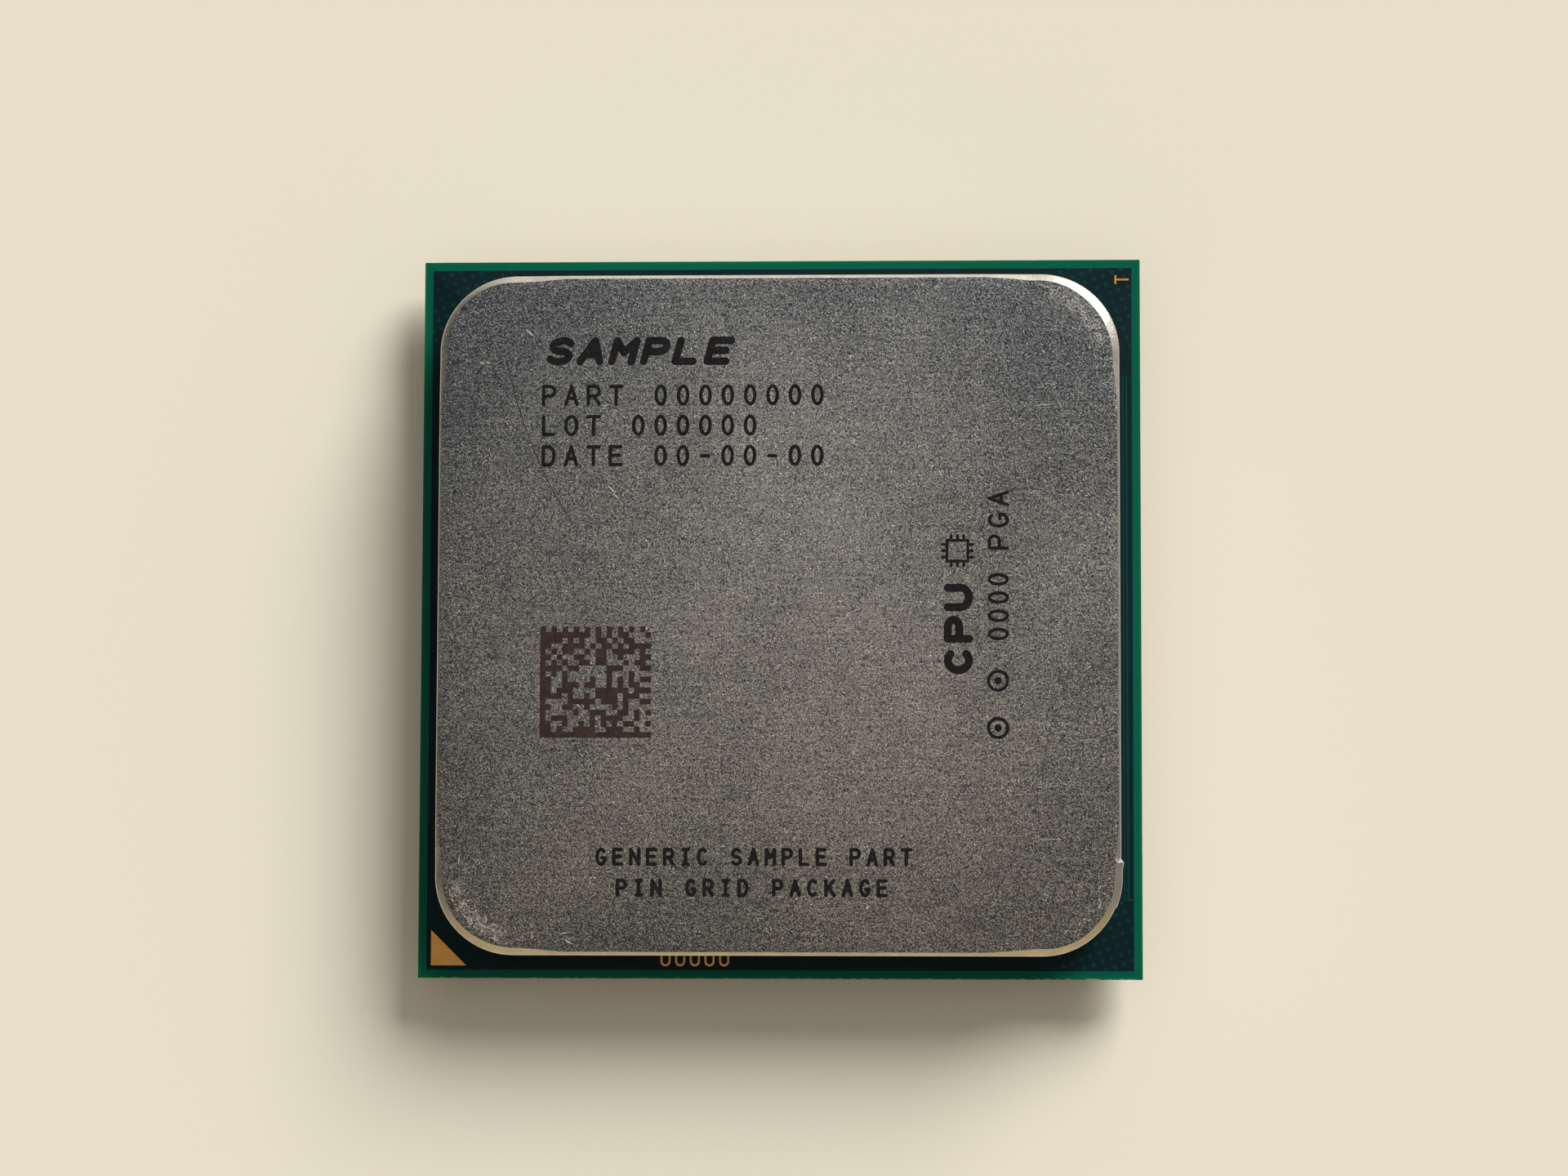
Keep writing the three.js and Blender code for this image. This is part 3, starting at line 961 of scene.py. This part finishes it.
def etch_chip_icon(name, centre, size, line):
    """A plain picture of a chip: a square outline with three short legs on each side."""
    mark = Solid()
    base = lid_high.z - MARK_DEPTH
    top = lid_high.z + MARK_DEPTH
    half = size / 2
    corners = [(-half, -half), (half, -half), (half, half), (-half, half)]
    for i, (x, y) in enumerate(corners):
        ax, ay = corners[i - 1]
        ends = [(centre[0] + ax, centre[1] + ay), (centre[0] + x, centre[1] + y)]
        mark.ribbon(ends, line / 2, base, top + 0.1 * i * MARK_DEPTH)
    leg = 0.22 * size
    for step in (-0.3, 0.0, 0.3):
        for side in (-1, 1):
            near, far = side * half, side * (half + leg)
            along = step * size
            for run in (((near, along), (far, along)), ((along, near), (along, far))):
                ends = [(centre[0] + x, centre[1] + y) for x, y in run]
                mark.ribbon(ends, line / 2, base, top - 0.1 * MARK_DEPTH)
    add_piece(name, mark, [etched])


def etch_code():
    """A square code of random cells that says nothing, with two solid sides."""
    draw = random.Random(11)
    code = Solid()
    base = lid_high.z - MARK_DEPTH
    for row in range(CODE_CELLS):
        top = lid_high.z + MARK_DEPTH * (1 + 0.15 * (row % 2))
        y = CODE_TOP - row * CODE_CELL
        start = None
        for column in range(CODE_CELLS + 1):
            dark = column < CODE_CELLS and is_dark_cell(draw, row, column)
            if dark and start is None:
                start = column
            if not dark and start is not None:
                low = (CODE_LEFT + start * CODE_CELL, y - CODE_CELL - CODE_OVERLAP, base)
                high = (CODE_LEFT + column * CODE_CELL, y, top)
                code.block(low, high)
                start = None
    add_piece("mark_code", code, [code_brown])


def is_dark_cell(draw, row, column):
    """Solid at the left and bottom, dashed at the top and right, and by chance inside."""
    by_chance = draw.random() < CODE_DARK_SHARE
    if column == 0 or row == CODE_CELLS - 1:
        return True
    if row == 0:
        return column % 2 == 0
    if column == CODE_CELLS - 1:
        return row % 2 == 1
    return by_chance


def make_marks():
    """Every mark on the lid, its title at the upper left and its small lines at the foot."""
    title = {"cap": 1.58, "width": 1.5, "pitch": 1.76, "line": 0.42}
    etch_words("mark_title", "SAMPLE", (-12.95, 13.72), slant=0.2, **title)
    for index, words in enumerate(("PART 00000000", "LOT 000000", "DATE 00-00-00")):
        start = (-13.07, 11.46 - 1.68 * index)
        etch_words(f"mark_line_{index + 1}", words, start, cap=1.18, width=0.8, pitch=1.235, line=0.19)
    etch_words("mark_side_word", "CPU", (10.7, -3.4), cap=1.6, width=1.5, pitch=1.74, line=0.44, turn=90)
    etch_chip_icon("mark_side_icon", (9.85, 3.4), size=1.15, line=0.16)
    side = {"cap": 1.17, "line": 0.18, "turn": 90}
    etch_words("mark_side_digits", "0000", (12.67, -1.58), width=0.8, pitch=1.0, **side)
    etch_words("mark_side_letters", "PGA", (12.68, 3.45), width=0.86, pitch=1.2, **side)
    for index, y in enumerate((-3.74, -6.33)):
        etch_ring(f"mark_ring_{index + 1}", (12.06, y), radius=0.52, line=0.18)
    foot = {"cap": 1.0, "width": 0.64, "line": 0.2}
    etch_words("mark_foot_1", "GENERIC SAMPLE PART", (-9.95, -13.88), pitch=0.927, **foot)
    etch_words("mark_foot_2", "PIN GRID PACKAGE", (-8.82, -15.57), pitch=0.95, **foot)
    etch_code()


# ------------------------------------------------------------------------ wear


def add_scratch(wear, start, turn, length, width):
    """One thin raised sliver, pointed at both ends and at its own height, so that crossings stay clean."""
    sections = (0.0, 0.25, 0.6, 1.0)
    order = len(wear.vertices) // (4 * len(sections))
    base = lid_high.z - MARK_DEPTH
    top = lid_high.z + MARK_DEPTH * (0.5 + 0.01 * (order % 20))
    cos, sin = math.cos(turn), math.sin(turn)
    rings = []
    for share in sections:
        half = width / 2 * max(0.08, math.sin(math.pi * (0.04 + 0.92 * share)))
        x = start[0] + length * share * cos
        y = start[1] + length * share * sin
        left = (x - half * sin, y + half * cos)
        right = (x + half * sin, y - half * cos)
        rings.append([(*left, top), (*right, top), (*right, base), (*left, base)])
    wear.loft(rings)


def add_scuffs(wear, draw):
    """Short strokes round each corner of the lid, most of them along its arc."""
    reach = LID_HALF - LID_CORNER_RADIUS
    for sx, sy, count in SCUFFS:
        for _ in range(count):
            a = math.radians(draw.gauss(45, 26))
            radius = LID_CORNER_RADIUS - SCUFF_INSET - abs(draw.gauss(0, 0.5))
            place = (sx * (reach + radius * math.cos(a)), sy * (reach + radius * math.sin(a)))
            turn = draw.gauss(math.atan2(-sx * math.cos(a), sy * math.sin(a)), 0.5)
            add_scratch(wear, place, turn, draw.uniform(0.12, 0.42), draw.uniform(0.016, 0.036))


def add_face_scratches(wear, draw):
    """Fine strokes all over the face, about half of them along X."""
    half = LID_HALF - SCRATCH_MARGIN
    for _ in range(FACE_SCRATCHES):
        place = (draw.uniform(-half, half), draw.uniform(-half, half))
        turn = draw.gauss(0, 0.5) + draw.choice((0, 0, math.pi / 4, -math.pi / 3))
        add_scratch(wear, place, turn, draw.uniform(0.08, 0.5), draw.uniform(0.012, 0.024))


def add_nicks(wear):
    """The larger knocks, each with where it starts, its turn in degrees, its length and its width."""
    nicks = (
        ((-14.0, 15.75), -42, 0.62, 0.08),
        ((-16.55, 13.95), -25, 0.3, 0.05),
        ((-16.2, 13.95), -20, 0.26, 0.05),
        ((-9.4, 7.05), -45, 0.6, 0.06),
        ((-9.1, 6.6), -40, 0.45, 0.045),
        ((14.0, 11.4), 5, 1.1, 0.03),
        ((14.2, -12.4), 0, 1.4, 0.025),
        ((4.9, -16.2), 70, 0.18, 0.1),
        ((-11.6, -17.9), -30, 0.5, 0.06),
        ((-11.9, -17.6), 10, 0.6, 0.04),
        ((11.4, -5.75), 30, 0.16, 0.08),
        ((17.5, -15.6), -60, 0.3, 0.04),
        ((17.6, -15.85), -105, 0.35, 0.04),
    )
    for start, degrees, length, width in nicks:
        add_scratch(wear, start, math.radians(degrees), length, width)


def make_wear():
    """Scuffs round the lid's corners, and scratches and nicks across its face, pale as a painted glint, and
    one long scratch dark as painted shade.
    """
    draw = random.Random(5)
    wear = Solid()
    add_scuffs(wear, draw)
    add_face_scratches(wear, draw)
    add_nicks(wear)
    # The slivers' pale colour is a painted glint on real scuffs.
    add_piece("lid_scuffs", wear, [scratch_with_painted_glint])
    long_scratch()


def long_scratch():
    """One long, faintly curved scratch across the upper left of the face, painted dark as the shade in its
    groove.
    """
    start, end = Vector((-15.05, 14.1)), Vector((-11.35, 5.0))
    bow = Vector((-0.4, -0.3))
    steps = 24
    path = []
    for i in range(steps + 1):
        t = i / steps
        path.append(start.lerp(end, t) + bow * 4 * t * (1 - t))
    mark = Solid()
    mark.ribbon(path, LONG_SCRATCH_WIDTH / 2, lid_high.z - MARK_DEPTH, lid_high.z + 0.4 * MARK_DEPTH)
    add_piece("lid_long_scratch", mark, [scratch_groove_shade])


# ------------------------------------------------------- floor, light, camera


def make_floor():
    """A plain pale disc, far wider than any view."""
    material, tree, shader = new_material("pale_floor", 1.0, specular=0.0)
    coordinates = node(tree, "TexCoord")
    soft = node(tree, "TexNoise", {"Vector": coordinates.outputs["Object"], "Scale": 3.0})
    connect(tree, shader, mix_colours(tree, soft, FLOOR_COLOUR, (0.83, 0.775, 0.65, 1)))
    mesh = bpy.data.meshes.new("floor")
    ring = [(*point, 0.0) for point in around((0, 0), FLOOR_RADIUS * MM, 64)]
    mesh.from_pydata(ring, [], [tuple(range(len(ring)))])
    mesh.materials.append(material)
    floor = bpy.data.objects.new("floor", mesh)
    scene.collection.objects.link(floor)


def make_key():
    """One broad, soft light from behind on the right, even over the whole floor."""
    light = bpy.data.lights.new("key", "SUN")
    light.energy = KEY_STRENGTH
    light.angle = math.radians(KEY_SPREAD)
    light.color = (1.0, 0.985, 0.96)
    lamp = bpy.data.objects.new("key", light)
    lamp.rotation_euler = (-Vector(KEY_FROM)).to_track_quat("-Z", "Y").to_euler()
    scene.collection.objects.link(lamp)


def make_world():
    """A softbox overhead in a dim sky, and a horizon bright behind, warm in front and dark at -X."""
    world = bpy.data.worlds.new("studio")
    world.use_nodes = True
    scene.world = world
    tree = world.node_tree
    place = node(tree, "TexCoord").outputs["Generated"]
    y, z = node(tree, "SeparateXYZ", {"Vector": place}).outputs[1:]
    behind = maths(tree, "POWER", facing(tree, place, (0.42, 0.91, 0.0)), 3.0)
    in_front = times(tree, facing(tree, place, (0.0, -1.0, 0.0)), 0.6)
    right = times(tree, facing(tree, place, (1.0, 0.0, 0.0)), 0.1)
    level = plus(tree, plus(tree, times(tree, behind, 1.5), in_front), plus(tree, right, 0.045))
    tint = mix_colours(tree, ramp(tree, y, -0.5, 0.2), (1.0, 0.78, 0.42, 1), (1.0, 0.99, 0.96, 1))
    horizon = node(tree, "VectorMath", {0: tint, 1: level}, operation="MULTIPLY")
    ceiling = mix_colours(tree, ramp(tree, z, 0.75, 0.92), (0.32, 0.325, 0.335, 1), (0.22, 0.225, 0.235, 1))
    sky = mix_colours(tree, ramp(tree, z, 0.4, 0.65), horizon, ceiling)
    softbox = ramp(tree, facing(tree, place, (-0.045, 0.086, 0.995)), 0.927, 0.996)
    sky = mix_colours(tree, softbox, sky, (0.465, 0.445, 0.41, 1))
    colour = mix_colours(tree, ramp(tree, z, 0.1, 0.14), FLOOR_COLOUR, sky)
    tree.links.new(colour, tree.nodes["Background"].inputs["Color"])


def facing(tree, place, direction):
    """1 straight along a direction, falling to 0 at right angles to it and beyond."""
    along = node(tree, "VectorMath", {0: place, 1: direction}, operation="DOT_PRODUCT").outputs["Value"]
    return maths(tree, "MAXIMUM", along, 0.0)


def make_camera():
    """A view down on the lid, slightly tilted and from off its middle."""
    data = bpy.data.cameras.new("camera")
    data.lens = CAMERA_LENS
    data.sensor_width = 36
    data.clip_start = 0.01
    camera = bpy.data.objects.new("camera", data)
    camera.location = Vector((*CAMERA_OFF_AXIS, board_high.z + CAMERA_ABOVE_BOARD)) * MM
    camera.rotation_mode = "ZYX"
    camera.rotation_euler = [math.radians(a) for a in (CAMERA_TILT, CAMERA_YAW, CAMERA_ROLL)]
    scene.collection.objects.link(camera)
    scene.camera = camera


make_camera()
make_floor()
make_key()
make_world()
scene.view_settings.view_transform = "Standard"
make_lid()
make_sealant()
make_board()
make_pins()
make_inner_pieces()
dress_cad_nodes()
make_marks()
make_wear()
